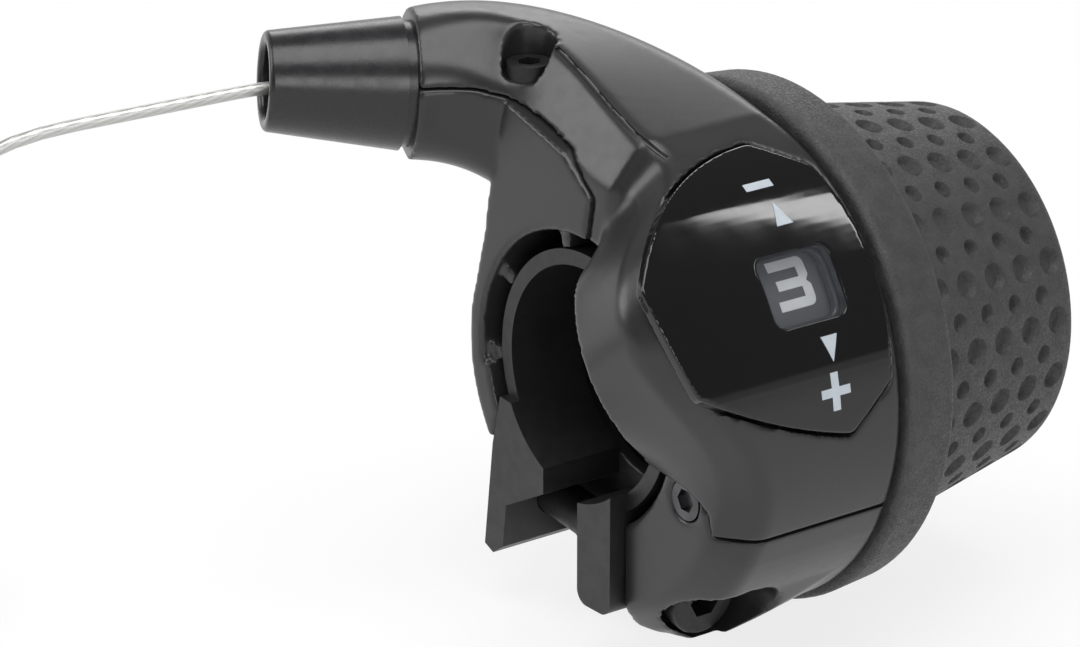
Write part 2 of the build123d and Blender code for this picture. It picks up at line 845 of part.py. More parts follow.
# Leaf spring that clicks into the drum's notches
spring_nose_r = detent_r - notch_depth + spring_nose_gap
spring_foot_r = shell_inner_r - slip_gap - spring_thickness / 2
spring_rise_r = detent_r + (shell_inner_r - detent_r) * spring_rise_share
spring_tail_r = (detent_r + shell_inner_r + spring_thickness) / 2
with BuildPart() as detent_spring:
    with BuildSketch(Plane.YZ.offset(drum_start_x + seat_gap)):
        with BuildLine():
            Polyline(
                clock(spring_foot_r, detent_angle + spring_foot_angles[1]),
                clock(spring_foot_r, detent_angle + spring_foot_angles[0]),
                clock(spring_rise_r, detent_angle + spring_rise_angle),
                clock(spring_nose_r, detent_angle),
                clock(spring_rise_r, detent_angle - spring_rise_angle),
                clock(spring_tail_r, detent_angle - spring_tail_angle),
            )
        trace(line_width=spring_thickness)
    extrude(amount=spring_width)
finish(detent_spring, "detent_spring")

# Sleeve that turns on the bar and carries the drum and the rubber
with BuildPart() as twist_sleeve:
    with BuildSketch(radial_plane(0)):
        with BuildLine():
            Polyline(
                (drum_start_x, sleeve_r),
                (drum_start_x, hub_r),
                (drum_end_x, hub_r),
                (drum_end_x, shoulder_r),
                (core_flange_x, shoulder_r),
                (core_flange_x, flange_core_r),
                (core_flange_end_x, flange_core_r),
                (core_flange_end_x, core_start_r),
                (core_end_x, core_end_r),
                (core_end_x, sleeve_r),
                close=True,
            )
        make_face()
    revolve(axis=Axis.X)
    with BuildSketch(Plane.YZ.offset(drum_start_x)):
        with PolarLocations(hub_r, spline_count):
            Rectangle(2 * spline_h, spline_width)
    extrude(amount=drum_end_x - drum_start_x)
finish(twist_sleeve, "twist_sleeve")

# End of the cable in the drum
wrap_turn = math.radians(wrap_end_angle)
nipple_plane = Plane(
    origin=(groove_x, *clock(wrap_r, wrap_end_angle)),
    x_dir=(1, 0, 0),
    z_dir=(0, math.cos(wrap_turn), math.sin(wrap_turn)),
)
with BuildPart() as cable_wrap:
    with BuildSketch(radial_plane(wrap_end_angle)):
        with Locations((groove_x, wrap_r)):
            Circle(cable_r)
    revolve(axis=Axis.X, revolution_arc=wrap_angle)
finish(cable_wrap, "cable_wrap")

with BuildPart() as cable_nipple:
    with BuildSketch(nipple_plane):
        Circle(nipple_r)
    extrude(amount=nipple_length)
finish(cable_nipple, "cable_nipple")

# Drum, with the cable groove, the notches and the disc behind the numbers
with BuildPart() as winding_drum:
    with BuildSketch(radial_plane(0)):
        with BuildLine():
            Polyline(
                (drum_start_x, hub_r + slip_gap),
                (drum_start_x, detent_r),
                (groove_x - groove_width / 2, detent_r),
                (groove_x - groove_width / 2, groove_r),
                (groove_x + groove_width / 2, groove_r),
                (groove_x + groove_width / 2, drum_flange_r),
                (disc_x, drum_flange_r),
                (disc_x, disc_r),
                (drum_end_x, disc_r),
                (drum_end_x, hub_r + slip_gap),
                close=True,
            )
        make_face()
    revolve(axis=Axis.X)
    with BuildSketch(Plane.YZ.offset(drum_start_x)):
        with PolarLocations(hub_r, spline_count):
            Rectangle(2 * (spline_h + slip_gap), spline_width + 2 * slip_gap)
        for click in range(clicks + 1):
            with Locations(clock(detent_r + notch_r - notch_depth, detent_angle + click * click_angle)):
                Circle(notch_r)
    extrude(amount=groove_x - drum_start_x, mode=Mode.SUBTRACT)
    with BuildSketch(Plane.YZ.offset(groove_x)):
        with PolarLocations(hub_r, spline_count):
            Rectangle(2 * (spline_h + slip_gap), spline_width + 2 * slip_gap)
    extrude(amount=drum_end_x - groove_x, mode=Mode.SUBTRACT)
    with BuildSketch(nipple_plane.offset(-slip_gap)):
        Circle(nipple_r + slip_gap)
        with Locations((0, -detent_r / 2)):
            Rectangle(2 * (nipple_r + slip_gap), detent_r)
    extrude(amount=nipple_length + 2 * slip_gap, mode=Mode.SUBTRACT)
finish(winding_drum, "winding_drum")

with BuildPart() as number_ring:
    add(
        ring_sector(
            number_ring_x,
            disc_x,
            number_ring_r,
            disc_r,
            number_angle - number_margin,
            number_angle + number_margin + travel,
        )
    )
finish(number_ring, "number_ring")

# Rubber grip, one moulding with its flange
grip_slope = math.atan2(grip_start_r - grip_end_r, grip_length)


def dimple(radius):
    """Tapered pit, drawn below its own plane."""
    with BuildPart() as pit:
        with BuildSketch(Plane.XY.offset(dimple_depth)):
            RegularPolygon(radius + dimple_draft, dimple_sides)
        with BuildSketch(Plane.XY.offset(-dimple_depth)):
            RegularPolygon(radius - dimple_draft, dimple_sides)
        loft()
    return pit.part


def dimple_places(rings, start):
    """Places on the grip's cone, in rings that start a given way from the flange."""
    places = []
    for ring in range(rings):
        along = start + ring * dimple_pitch
        radius = grip_start_r - along * math.tan(grip_slope)
        for row in range(dimple_rows):
            angle = (row + start / dimple_pitch) * 360 / dimple_rows
            y, z = clock(radius, angle)
            out_y, out_z = clock(math.cos(grip_slope), angle)
            outwards = (math.sin(grip_slope), out_y, out_z)
            places.append(Plane(origin=(flange_end_x + along, y, z), z_dir=outwards).location)
    return places


with BuildPart() as rubber_grip:
    with BuildSketch(radial_plane(0)) as grip_profile:
        with BuildLine():
            Polyline(
                (flange_x, shoulder_r + slip_gap),
                (flange_x, flange_start_r),
                (flange_end_x, flange_end_r),
                (flange_end_x, grip_start_r),
                (grip_end_x, grip_end_r),
                (grip_end_x, rubber_end_r),
                (core_end_x, rubber_end_r),
                (core_end_x, core_end_r + slip_gap),
                (core_flange_end_x + slip_gap, core_start_r + slip_gap),
                (core_flange_end_x + slip_gap, flange_core_r + slip_gap),
                (core_flange_x - slip_gap, flange_core_r + slip_gap),
                (core_flange_x - slip_gap, shoulder_r + slip_gap),
                close=True,
            )
        make_face()
        fillet(grip_profile.vertices().sort_by(Axis.Y)[-2:], flange_round)
        fillet(grip_profile.vertices().sort_by_distance((grip_end_x, grip_end_r))[0], grip_end_round)
    revolve(axis=Axis.X)
    with Locations(*dimple_places(dimple_rings, dimple_margin)):
        add(dimple(large_dimple_r), mode=Mode.SUBTRACT)
    with Locations(*dimple_places(dimple_rings - 1, dimple_margin + dimple_pitch / 2)):
        add(dimple(small_dimple_r), mode=Mode.SUBTRACT)
finish(rubber_grip, "rubber_grip")

# Free cable: each bend is as large as the runs beside it allow
cord_route = [socket_floor, socket_floor + nose_dir * cord_lead]
cord_route += [Vector(*point) for point in cord_points]
cord_radii = []
for before, corner, after in zip(cord_route, cord_route[1:], cord_route[2:]):
    run_in = corner - before
    run_out = after - corner
    half_turn = math.radians(run_in.get_angle(run_out) / 2)
    cord_radii.append(cord_arc_share * min(run_in.length, run_out.length) / math.tan(half_turn))
print("cord radii", [round(radius, 1) for radius in cord_radii])

with BuildPart() as cable_run:
    with BuildLine() as cord_line:
        FilletPolyline(*cord_route, radius=cord_radii)
    add(round_along(cord_line.line, cable_r))
finish(cable_run, "cable_run")

with BuildPart() as cable_coil:
    coil_plane = Plane(origin=(coil_x, coil_y, coil_top_z - coil_height / 2), x_dir=(1, 0, 0), z_dir=(0, -1, 0))
    with BuildSketch(coil_plane):
        with Locations((coil_r, 0)):
            RectangleRounded(coil_width, coil_height, coil_round)
    revolve(axis=Axis((coil_x, coil_y, 0), (0, 0, 1)))
finish(cable_coil, "cable_coil")

tie_turn = math.radians(tie_angle)
tie_place = (
    coil_x + coil_r * math.cos(tie_turn),
    coil_y + coil_r * math.sin(tie_turn),
    coil_top_z - coil_height / 2,
)
with BuildPart() as cable_tie:
    tie_plane = Plane(
        origin=tie_place,
        x_dir=(math.cos(tie_turn), math.sin(tie_turn), 0),
        z_dir=(math.sin(tie_turn), -math.cos(tie_turn), 0),
    )
    with BuildSketch(tie_plane):
        RectangleRounded(coil_width + 2 * tie_wall, coil_height + 2 * tie_wall, coil_round + tie_wall)
        RectangleRounded(coil_width, coil_height, coil_round, mode=Mode.SUBTRACT)
    extrude(amount=tie_width / 2, both=True)
    add(cable_coil.part, mode=Mode.SUBTRACT)
finish(cable_tie, "cable_tie")
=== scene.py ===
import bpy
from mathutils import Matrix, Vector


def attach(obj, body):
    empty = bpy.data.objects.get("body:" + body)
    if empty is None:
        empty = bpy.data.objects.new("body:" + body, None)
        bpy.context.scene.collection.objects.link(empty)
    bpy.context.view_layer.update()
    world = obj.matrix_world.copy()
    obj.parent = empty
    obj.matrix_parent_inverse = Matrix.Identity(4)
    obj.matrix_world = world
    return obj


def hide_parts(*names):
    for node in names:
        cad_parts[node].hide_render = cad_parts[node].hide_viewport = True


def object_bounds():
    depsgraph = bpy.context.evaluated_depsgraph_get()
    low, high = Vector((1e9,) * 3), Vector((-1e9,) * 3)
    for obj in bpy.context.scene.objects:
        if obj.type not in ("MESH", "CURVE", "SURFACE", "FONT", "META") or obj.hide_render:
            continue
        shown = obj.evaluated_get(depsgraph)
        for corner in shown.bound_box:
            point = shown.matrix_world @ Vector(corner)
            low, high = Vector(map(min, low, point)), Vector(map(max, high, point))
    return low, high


bl_info = {
    "name": "Twist Grip Shifter",
    "version": (1, 0, 0),
    "blender": (4, 5, 0),
    "location": "View3D > Sidebar > Shifter",
    "description": "Dresses a bicycle twist grip shifter with its rubber, panel marks, cable and finishes",
    "category": "Add Mesh",
}

import math

import bpy
from mathutils import Matrix, Vector

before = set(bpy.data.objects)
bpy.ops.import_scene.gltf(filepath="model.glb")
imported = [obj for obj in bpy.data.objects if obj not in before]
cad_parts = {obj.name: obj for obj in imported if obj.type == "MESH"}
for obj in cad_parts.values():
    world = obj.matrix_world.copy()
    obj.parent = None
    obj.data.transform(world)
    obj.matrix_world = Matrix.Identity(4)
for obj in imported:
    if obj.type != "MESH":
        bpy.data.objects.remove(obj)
cad_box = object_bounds()

# Viewpoint of the photograph, in metres, with no shift; the sensor is in millimetres
EYE = (-0.2526, -0.3328, 0.1672)
LOOK = (0.556949, 0.7484242, -0.3604128)
SENSOR = 36.0
NEAR_CLIP = 0.01

# Soft lamps: place, width and height in metres, and the stage value that holds the power
LAMPS = {
    "key_lamp": ((-0.06, -0.1, 0.62), 0.6, 0.45, "key_power"),
    "back_lamp": ((0.4, 0.48, 0.36), 0.5, 0.25, "back_power"),
    "side_lamp": ((-0.4, 0.36, 0.3), 0.35, 0.3, "side_power"),
    "fill_lamp": ((-0.27, -0.56, 0.23), 0.3, 0.22, "fill_power"),
}
LAMP_TARGET = (0.0, 0.0, 0.0)

# Slim lamp over the grip's end, which the panel mirrors, in metres
STRIP_PLACE = (0.392, -0.2055, 0.4516)
STRIP_TARGET = (0.01, -0.016, 0.019)
STRIP_ALONG = (0.247, -0.91, -0.336)
STRIP_LENGTH = 0.3
STRIP_WIDTH = 0.028

# Pale backdrop in mirrored light: where it rises, and the heights between which it ends
BACKDROP_COLOUR = (0.8, 0.8, 0.8, 1.0)
BACKDROP_BEHIND = (0.27, 0.36, 0.0)
BACKDROP_EDGE = (0.03, 0.08)

# Floor, in metres
FLOOR_SIZE = 6.0
FLOOR_CUTS = 3

# Way of the bare cable from the floor of its socket, in metres
CABLE_ROUTE = (
    (-0.0071229, 0.0245707, 0.0239183),
    (-0.0129471, 0.0274113, 0.0244283),
    (-0.0235, 0.0311, 0.0233),
    (-0.042, 0.0379, 0.0211),
    (-0.0476, 0.0392, 0.012),
    (-0.0486, 0.0391, 0.0006),
    (-0.0494, 0.0391, -0.0104),
    (-0.0532, 0.0405, -0.017),
    (-0.0597, 0.0428, -0.0183),
)

# Tied coil of the rest of the cable: places in metres and angles in degrees
COIL_CENTRE = (-0.056, 0.053)
COIL_TOP_Z = -0.0196
COIL_LAYER = 0.0013
COIL_INNER_R = 0.0077
COIL_OUTER_R = 0.0139
COIL_POINTS = 12
COIL_LEAD = 60.0
COIL_LEAD_STEPS = 3
COIL_DROP = 35.0
COIL_STEP = 45.0

# Strands of the cable: one turn of their lay and their height in metres, then shares; the grooves between
# the strands get painted shade
STRAND_LAY = 0.0062
STRAND_HEIGHT = 0.00004
STRAND_BUMP = 0.6
STRAND_GROOVE = 0.3
STRAND_PAINTED_SHADE = 0.8
STRAND_ROUGHNESS = 0.46
HALF_STRAND = 0.5

# Crease along the neck's shoulder, from the screw's recess to the panel, in metres
CREASE = (
    (0.0038, 0.0092, 0.0293),
    (0.0035, 0.0051, 0.028),
    (0.0029, 0.0, 0.0262),
    (0.0026, -0.0045, 0.0247),
    (0.0034, -0.0078, 0.0233),
)
CREASE_STEPS = 3

# Radii of the marked surfaces, and the print's gap and thickness on them, in metres
PANEL_R = 0.0249
NUMBER_R = 0.0223
PRINT_LIFT = 0.00001
PRINT_THICKNESS = 0.00003

# Angle in degrees that one flat of a print spans
PRINT_STEP = 2.5

# Distances in metres under which points are merged, and under which a point is at a place
MERGE_GAP = 1e-6
PICK_GAP = 1e-5

# Middle range of a noise, which holds most of it
NOISE_LOW = 0.35
NOISE_HIGH = 0.65

# How much paler the casing socket is than the polished black
SOCKET_SHADE = 3.2


class ShifterStage(bpy.types.PropertyGroup):
    """Camera, light and floor."""

    lens: bpy.props.FloatProperty(
        name="Lens", description="Focal length of the camera, on a 36 mm sensor",
        default=162.8, min=20.0, unit="CAMERA")
    floor_colour: bpy.props.FloatVectorProperty(
        name="Floor", description="Colour of the floor", subtype="COLOR", size=3,
        default=(0.9, 0.9, 0.9), min=0.0, max=1.0)
    key_power: bpy.props.FloatProperty(
        name="Key light", description="Power of the large lamp overhead", default=3.4, min=0.0,
        unit="POWER")
    side_power: bpy.props.FloatProperty(
        name="Side light", description="Power of the lamp on the cable's side", default=1.3, min=0.0,
        unit="POWER")
    back_power: bpy.props.FloatProperty(
        name="Back light", description="Power of the low lamp behind the grip", default=1.1, min=0.0,
        unit="POWER")
    fill_power: bpy.props.FloatProperty(
        name="Fill light", description="Power of the lamp on the rider's side", default=1.0, min=0.0,
        unit="POWER")
    strip_power: bpy.props.FloatProperty(
        name="Strip light", description="Power of the slim lamp that the panel mirrors", default=0.2,
        min=0.0, unit="POWER")
    sky: bpy.props.FloatProperty(
        name="Sky", description="Strength of the even light all round", default=0.2, min=0.0)
    floor_glow: bpy.props.FloatProperty(
        name="Floor glow", description="Share of the floor that shows plain white", default=0.8, min=0.0,
        max=1.0, subtype="FACTOR")


class ShifterCable(bpy.types.PropertyGroup):
    """Bare inner cable."""

    diameter: bpy.props.FloatProperty(
        name="Diameter", description="Diameter of the stranded cable", default=0.0012, min=0.0005,
        subtype="DISTANCE", unit="LENGTH")
    length: bpy.props.FloatProperty(
        name="Length", description="Free length from the socket to the cut end", default=1.85, min=0.1,
        subtype="DISTANCE", unit="LENGTH")
    layers: bpy.props.IntProperty(
        name="Layers", description="Layers of turns in the tied coil", default=5, min=1)
    turns: bpy.props.IntProperty(
        name="Turns", description="Turns beside each other in one layer", default=5, min=1)
    strands: bpy.props.IntProperty(
        name="Strands", description="Strands seen round the cable", default=8, min=3)


class ShifterGrip(bpy.types.PropertyGroup):
    """Rubber cover of the grip."""

    rows: bpy.props.IntProperty(
        name="Rows", description="Dimples round the grip", default=20, min=3)
    rings: bpy.props.IntProperty(
        name="Rings", description="Rings of large dimples along the grip", default=5, min=1)
    large_dimple: bpy.props.FloatProperty(
        name="Large dimple", description="Radius of a large dimple", default=0.00135, min=0.0001,
        subtype="DISTANCE", unit="LENGTH")
    small_dimple: bpy.props.FloatProperty(
        name="Small dimple", description="Radius of a small dimple", default=0.0009, min=0.0001,
        subtype="DISTANCE", unit="LENGTH")
    depth: bpy.props.FloatProperty(
        name="Depth", description="Depth of the dimples", default=0.00075, min=0.0001,
        subtype="DISTANCE", unit="LENGTH")


class ShifterFinish(bpy.types.PropertyGroup):
    """Colours of the finishes."""

    housing: bpy.props.FloatVectorProperty(
        name="Housing", description="Satin charcoal of the mouldings", subtype="COLOR", size=3,
        default=(0.02, 0.02, 0.021), min=0.0, max=1.0)
    gloss: bpy.props.FloatVectorProperty(
        name="Gloss", description="Polished black of the panel and the socket", subtype="COLOR", size=3,
        default=(0.004, 0.004, 0.0045), min=0.0, max=1.0)
    rubber: bpy.props.FloatVectorProperty(
        name="Rubber", description="Grey of the grip", subtype="COLOR", size=3,
        default=(0.042, 0.042, 0.043), min=0.0, max=1.0)
    marks: bpy.props.FloatVectorProperty(
        name="Marks", description="Pale print of the panel's marks", subtype="COLOR", size=3,
        default=(0.5, 0.55, 0.6), min=0.0, max=1.0)
    wire: bpy.props.FloatVectorProperty(
        name="Wire", description="Bright wire of the cable", subtype="COLOR", size=3,
        default=(0.58, 0.58, 0.56), min=0.0, max=1.0)


def deselect():
    """Nothing selected, in object mode."""
    if bpy.context.object and bpy.context.object.mode != "OBJECT":
        bpy.ops.object.mode_set(mode="OBJECT")
    bpy.ops.object.select_all(action="DESELECT")


def activate(*pieces):
    """Select these pieces, the first one active."""
    deselect()
    for piece in pieces:
        piece.select_set(True)
    bpy.context.view_layer.objects.active = pieces[0]


def edit_whole(piece):
    """Edit a piece, with all of it selected."""
    activate(piece)
    bpy.ops.object.mode_set(mode="EDIT")
    bpy.ops.mesh.select_all(action="SELECT")


def merge_doubles():
    """Merge the points in edit mode that lie on each other."""
    bpy.ops.mesh.select_all(action="SELECT")
    bpy.ops.mesh.remove_doubles(threshold=MERGE_GAP)


def clock(radius, angle):
    """Y and Z at a clock angle about the bar, from 0 at the top to 90 at the rider's side."""
    turn = math.radians(angle)
    return -radius * math.sin(turn), radius * math.cos(turn)


def apply_modifiers(piece):
    """Apply every modifier of a piece."""
    activate(piece)
    for modifier in list(piece.modifiers):
        bpy.ops.object.modifier_apply(modifier=modifier.name)


def cut_with(piece, cutter):
    """Add a modifier that cuts one piece away from another."""
    cut = piece.modifiers.new(cutter.name, "BOOLEAN")
    cut.operation = "DIFFERENCE"
    cut.solver = "EXACT"
    cut.object = cutter


def smooth_shade(piece, angle):
    """Shade a piece smooth, but for edges sharper than an angle in degrees."""
    activate(piece)
    bpy.ops.object.shade_smooth_by_angle(angle=math.radians(angle))


def join(name, pieces):
    """Join pieces into one mesh, with its doubles merged."""
    activate(*pieces)
    if len(pieces) > 1:
        bpy.ops.object.join()
    whole = bpy.context.object
    whole.name = name
    whole.data.name = name
    bpy.ops.object.mode_set(mode="EDIT")
    merge_doubles()
    bpy.ops.object.mode_set(mode="OBJECT")
    return whole


def round_rod(name, points, radius, order, resolution, rounding):
    """A round rod along a NURBS spline that has these control points."""
    curve = bpy.data.curves.new(name, "CURVE")
    curve.dimensions = "3D"
    spline = curve.splines.new("NURBS")
    spline.points.add(len(points) - 1)
    for point, place in zip(spline.points, points):
        point.co = (*place, 1.0)
    spline.order_u = order
    spline.use_endpoint_u = True
    spline.resolution_u = resolution
    curve.bevel_depth = radius
    curve.bevel_resolution = rounding
    curve.use_fill_caps = True
    rod = bpy.data.objects.new(name, curve)
    bpy.context.collection.objects.link(rod)
    return rod


def paint(piece, material):
    """Give the whole piece one material."""
    piece.data.materials.clear()
    piece.data.materials.append(material)


def settle(piece, body, slot, *nodes):
    """Ride a finished piece on its body, in place of the nodes that it stands for."""
    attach(piece, body)
    if nodes:
        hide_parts(*nodes)


# Finishes

def reckon(tree, operation, *values):
    """Result of a Math node on its values, each a socket or a number."""
    node = tree.nodes.new("ShaderNodeMath")
    node.operation = operation
    for slot, value in zip(node.inputs, values):
        if isinstance(value, (int, float)):
            slot.default_value = value
        else:
            tree.links.new(value, slot)
    return node.outputs["Value"]


def between(tree, value, low, high, start=NOISE_LOW, stop=NOISE_HIGH):
    """Map a value's range from start to stop to other limits."""
    ranged = tree.nodes.new("ShaderNodeMapRange")
    ranged.inputs["From Min"].default_value = start
    ranged.inputs["From Max"].default_value = stop
    ranged.inputs["To Min"].default_value = low
    ranged.inputs["To Max"].default_value = high
    tree.links.new(value, ranged.inputs["Value"])
    return ranged.outputs["Result"]


def noise(tree, scale, detail=3.0):
    """Noise on the piece's own coordinates; scale counts grains in a metre."""
    place = tree.nodes.new("ShaderNodeTexCoord")
    texture = tree.nodes.new("ShaderNodeTexNoise")
    texture.inputs["Scale"].default_value = scale
    texture.inputs["Detail"].default_value = detail
    tree.links.new(place.outputs["Object"], texture.inputs["Vector"])
    return texture.outputs["Fac"]


def shaded(colour, factor):
    """The colour times a factor."""
    return tuple(channel * factor for channel in colour)


def blend_colour(tree, shader, share, first, second):
    """Colour the shader from a first to a second colour, by a share."""
    mix = tree.nodes.new("ShaderNodeMix")
    mix.data_type = "RGBA"
    mix.inputs["A"].default_value = (*first, 1.0)
    mix.inputs["B"].default_value = (*second, 1.0)
    tree.links.new(share, mix.inputs["Factor"])
    tree.links.new(mix.outputs["Result"], shader.inputs["Base Color"])


def emboss(tree, shader, relief, height, strength):
    """Raise the surface by a relief, its height in metres."""
    bump = tree.nodes.new("ShaderNodeBump")
    bump.inputs["Strength"].default_value = strength
    bump.inputs["Distance"].default_value = height
    tree.links.new(relief, bump.inputs["Height"])
    tree.links.new(bump.outputs["Normal"], shader.inputs["Normal"])


def plain_finish(name, colour, roughness=0.5, metallic=0.0, alpha=1.0):
    """Material with its shader set to plain values."""
    material = bpy.data.materials.new(name)
    material.use_nodes = True
    shader = material.node_tree.nodes["Principled BSDF"]
    shader.inputs["Base Color"].default_value = (*colour, 1.0)
    shader.inputs["Roughness"].default_value = roughness
    shader.inputs["Metallic"].default_value = metallic
    shader.inputs["Alpha"].default_value = alpha
    return material, material.node_tree, shader


def finish(name, colour, mottle=None, sheen=None, grain=None, **values):
    """Material whose colour, sheen and grain change over the surface.

    mottle holds the darkest and the lightest share of the colour and the patches in a metre,
    sheen the lowest and the highest roughness and the patches in a metre,
    grain the grains in a metre, their height in metres, their strength and their detail.
    """
    material, tree, shader = plain_finish(name, colour, **values)
    if mottle:
        dark, light, scale = mottle
        share = between(tree, noise(tree, scale), 0.0, 1.0)
        blend_colour(tree, shader, share, shaded(colour, dark), shaded(colour, light))
    if sheen:
        low, high, scale = sheen
        tree.links.new(between(tree, noise(tree, scale), low, high), shader.inputs["Roughness"])
    if grain:
        scale, height, strength, detail = grain
        emboss(tree, shader, noise(tree, scale, detail), height, strength)
    return material


def stranded_wire(colour):
    """Wire whose strands run slantwise along the cable's own map, with painted shade in the grooves
    between them.
    """
    cable = bpy.context.scene.shifter_cable
    material, tree, shader = plain_finish("stranded_wire", colour, STRAND_ROUGHNESS, metallic=1.0)
    place = tree.nodes.new("ShaderNodeTexCoord")
    parts = tree.nodes.new("ShaderNodeSeparateXYZ")
    tree.links.new(place.outputs["UV"], parts.inputs["Vector"])
    along = reckon(tree, "MULTIPLY", parts.outputs["X"], cable.length / STRAND_LAY * cable.strands)
    around = reckon(tree, "MULTIPLY_ADD", parts.outputs["Y"], cable.strands, along)
    relief = reckon(tree, "PINGPONG", around, HALF_STRAND)
    emboss(tree, shader, relief, STRAND_HEIGHT, STRAND_BUMP)
    # Painted shade: the grooves between the strands are coloured darker than the wire
    share = between(tree, relief, 0.0, 1.0, 0.0, STRAND_GROOVE)
    blend_colour(tree, shader, share, shaded(colour, STRAND_PAINTED_SHADE), colour)
    return material


def make_finishes():
    """All the finishes of the shifter, by name."""
    colours = bpy.context.scene.shifter_finish
    return {
        "housing": finish(
            "satin_housing", colours.housing, mottle=(0.92, 1.08, 60.0), sheen=(0.29, 0.33, 900.0),
            grain=(5200.0, 0.000015, 0.5, 2.0)),
        "panel": finish(
            "polished_black", colours.gloss, mottle=(0.9, 1.15, 40.0), sheen=(0.04, 0.07, 300.0)),
        "nose": finish(
            "socket_black", shaded(colours.gloss, SOCKET_SHADE), mottle=(0.875, 1.125, 60.0),
            sheen=(0.24, 0.31, 700.0), grain=(2600.0, 0.00001, 0.4, 2.0)),
        "window": finish(
            "smoked_window", (0.14, 0.151, 0.173), sheen=(0.05, 0.09, 300.0), alpha=0.14),
        "rubber": finish(
            "grained_rubber", colours.rubber, mottle=(0.85, 1.2, 700.0), sheen=(0.42, 0.78, 4200.0),
            grain=(4800.0, 0.00011, 0.9, 3.0)),
        # Near black: partly the band's own coating, partly painted shade for the dark bore
        "clamp": finish(
            "coated_clamp", (0.011, 0.011, 0.012), mottle=(0.82, 1.18, 120.0), sheen=(0.4, 0.5, 800.0),
            grain=(4200.0, 0.00002, 0.5, 2.0)),
        "bolt": finish(
            "plated_bolt", (0.1, 0.1, 0.105), mottle=(0.8, 1.2, 500.0), sheen=(0.3, 0.44, 1800.0),
            metallic=1.0),
        # Near black: partly the screws' own black, partly painted shade in the hole and the recess round
        # their heads
        "black_screw": finish(
            "blackened_screw", (0.004, 0.004, 0.004), mottle=(0.75, 1.25, 500.0),
            sheen=(0.45, 0.58, 1800.0)),
        # Near black: partly the pieces' own black, partly painted shade for the dark bore
        "core": finish(
            "plain_core", (0.006, 0.006, 0.0065), mottle=(0.84, 1.16, 90.0), sheen=(0.45, 0.56, 700.0)),
        "ring": finish(
            "number_ring_grey", (0.11, 0.115, 0.126), mottle=(0.937, 1.063, 150.0), roughness=0.6),
        "marks": finish("pale_print", colours.marks, mottle=(0.95, 1.03, 800.0), roughness=0.5),
        "numbers": finish(
            "number_print", (0.9, 0.93, 0.96), mottle=(0.978, 1.022, 800.0), roughness=0.5),
        # Painted shade: the pale liner is coloured dark so that where it shows through the housing it
        # reads as the shade inside
        "liner": finish("dark_liner", (0.02, 0.02, 0.021), mottle=(0.9, 1.1, 200.0), roughness=0.4),
        "tie": finish("tie_black", (0.01, 0.01, 0.01), sheen=(0.34, 0.46, 900.0)),
        "wire": finish(
            "bright_wire", colours.wire, mottle=(0.8, 1.1, 900.0), roughness=0.28, metallic=1.0),
        "strands": stranded_wire(colours.wire),
    }


finishes = {}


